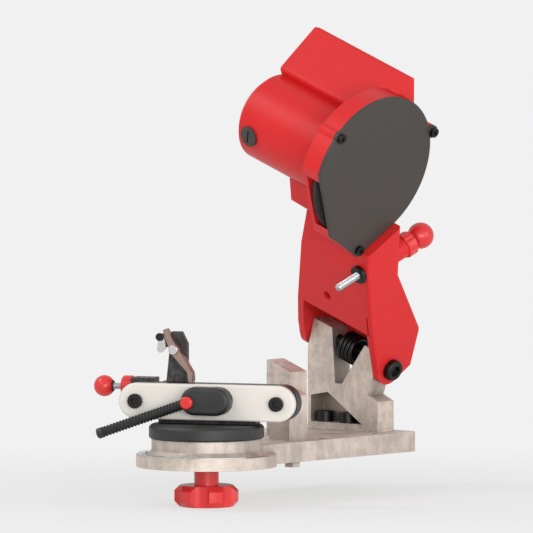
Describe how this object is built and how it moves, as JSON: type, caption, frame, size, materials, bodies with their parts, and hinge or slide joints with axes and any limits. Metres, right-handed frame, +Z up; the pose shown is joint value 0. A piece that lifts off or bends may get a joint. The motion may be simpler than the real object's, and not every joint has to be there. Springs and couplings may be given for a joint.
{
  "type": "electric saw-chain sharpener",
  "caption": "Bench-mounted electric grinder for saw chains: a sprung, tilting head with a guarded wheel over a swivelling chain vise with a cam lever.",
  "frame": {"origin": "the middle of the four bench bolt holes, in the plane of the bench top", "axes": "+X to the operator's right, -Y towards the operator, +Z up"},
  "size_m": [0.1821, 0.2613, 0.3519],
  "materials": {
    "cast_aluminium": "cast, matt",
    "scale_plate": "satin",
    "zinc_steel": "zinc plated",
    "bright_steel": "turned",
    "core_steel": "stacked sheets",
    "pawl_steel": "plated, dull",
    "black_steel": "black oxide",
    "bronze": "sintered",
    "copper": "drawn",
    "carbon": "matt",
    "red_plastic": "fine texture",
    "red_knob": "gloss",
    "dark_plastic": "matt",
    "black_rubber": "matt",
    "black_cast": "powder coat",
    "white_paint": "powder coat",
    "abrasive": "bonded grit"
  },
  "bodies": {
    "base": {"base_casting": "cast_aluminium", "angle_scale": "scale_plate", "pivot_bracket": "cast_aluminium", "bracket_bolts": "black_steel", "axle_bolt": "black_steel", "axle_nut": "zinc_steel", "return_spring": "black_steel", "lock_washer": "zinc_steel"},
    "head": {"arm_body": "red_plastic", "pivot_bushes": "bronze", "wheel_shroud": "red_plastic", "guard_cover": "dark_plastic", "guard_screws": "black_steel", "housing_screws": "zinc_steel", "motor_housing": "red_plastic", "motor_end_cap": "red_plastic", "front_bearing": "bright_steel", "rear_bearing": "bright_steel", "stator_core": "core_steel", "stator_coils": "copper", "brush_holders": "bronze", "carbon_brushes": "carbon", "brush_caps": "dark_plastic", "switch_box": "red_plastic", "switch_plate": "red_plastic", "switch_bezel": "dark_plastic", "cable_gland": "black_rubber", "depth_insert": "black_steel"},
    "spindle": {"motor_shaft": "bright_steel", "rotor_core": "core_steel", "commutator": "copper", "cooling_fan": "dark_plastic", "inner_flange": "bright_steel", "grinding_wheel": "abrasive", "outer_flange": "bright_steel", "spindle_nut": "zinc_steel"},
    "rocker": {"rocker_button": "dark_plastic"},
    "depth_slide": {"depth_screw": "zinc_steel"},
    "depth_ball": {"depth_knob": "red_knob"},
    "depth_nut": {"depth_lock_nut": "red_knob"},
    "vise": {"swivel_plate": "black_cast", "swivel_stud": "bright_steel", "rear_jaw": "black_cast", "guide_screws": "black_steel", "clamp_stud": "bright_steel", "stop_bracket": "black_cast"},
    "jaw": {"front_jaw": "white_paint"},
    "lever": {"cam_hub": "black_cast", "lever_rod": "black_cast", "lever_cap": "red_knob"},
    "stop_slide": {"stop_screw": "zinc_steel", "stop_carriage": "black_cast", "stop_post": "black_cast", "pawl_pin": "bright_steel"},
    "stop_ball": {"stop_knob": "red_knob"},
    "stop_nut": {"stop_lock_nut": "red_knob"},
    "pawl_arm": {"pawl": "pawl_steel", "pawl_tip": "bright_steel", "pawl_screw": "black_steel"},
    "knob": {"lock_knob": "red_knob"}
  },
  "joints": [
    {"name": "head_tilt", "type": "hinge", "parent": "base", "child": "head", "pos_m": [0.0275, 0.05, 0.06836], "axis": [0.9397, 0, -0.342], "range_deg": [0, 48.5], "stiffness_Nm_per_rad": 1.3, "springref_deg": -68.75},
    {"name": "spindle_spin", "type": "hinge", "parent": "head", "child": "spindle", "pos_m": [0.08289, -0.02398, 0.22055], "axis": [0.9397, 0, -0.342], "continuous": true},
    {"name": "switch_rock", "type": "hinge", "parent": "head", "child": "rocker", "pos_m": [0.00241, -0.0043, 0.29913], "axis": [0.3074, -0.4384, 0.8446], "range_deg": [0, 16]},
    {"name": "depth_feed", "type": "slide", "parent": "head", "child": "depth_slide", "axis": [-0.1499, -0.8988, -0.4119], "range_m": [-0.014, 0]},
    {"name": "depth_turn", "type": "hinge", "parent": "depth_slide", "child": "depth_ball", "pos_m": [0.06391, 0.00879, 0.14502], "axis": [-0.1499, -0.8988, -0.4119], "range_deg": [-5040, 0]},
    {"name": "depth_lock", "type": "hinge", "parent": "head", "child": "depth_nut", "pos_m": [0.06391, 0.00879, 0.14502], "axis": [-0.1499, -0.8988, -0.4119], "range_deg": [0, 270]},
    {"name": "vise_swivel", "type": "hinge", "parent": "base", "child": "vise", "pos_m": [0.025, -0.137, 0], "axis": [0, 0, 1], "range_deg": [-60, 10]},
    {"name": "knob_turn", "type": "hinge", "parent": "base", "child": "knob", "pos_m": [0.025, -0.137, 0], "axis": [0, 0, 1], "range_deg": [0, 180]},
    {"name": "lever_lift", "type": "hinge", "parent": "vise", "child": "lever", "pos_m": [0.03225, -0.13362, 0.0495], "axis": [0.4226, -0.9063, 0], "range_deg": [-90, 0]},
    {"name": "jaw_feed", "type": "slide", "parent": "vise", "child": "jaw", "axis": [-0.4226, 0.9063, 0], "range_m": [0, 0.0015]},
    {"name": "stop_feed", "type": "slide", "parent": "vise", "child": "stop_slide", "axis": [-0.9063, -0.4226, 0], "range_m": [-0.006, 0.006]},
    {"name": "stop_turn", "type": "hinge", "parent": "stop_slide", "child": "stop_ball", "pos_m": [0.01591, -0.11751, 0.0565], "axis": [-0.9063, -0.4226, 0], "range_deg": [-2700, 2700]},
    {"name": "stop_lock", "type": "hinge", "parent": "vise", "child": "stop_nut", "pos_m": [0.01591, -0.11751, 0.0565], "axis": [0.9063, 0.4226, 0], "range_deg": [0, 270]},
    {"name": "pawl_lift", "type": "hinge", "parent": "stop_slide", "child": "pawl_arm", "pos_m": [0.0028, -0.14735, 0.0865], "axis": [-0.4226, 0.9063, 0], "range_deg": [-45, 0]}
  ],
  "couplings": [
    {"joint": "depth_turn", "follows": "depth_feed", "rad_per_m": 6283.2},
    {"joint": "jaw_feed", "follows": "lever_lift", "m_per_rad": -0.00095493},
    {"joint": "stop_turn", "follows": "stop_feed", "rad_per_m": 7854}
  ]
}
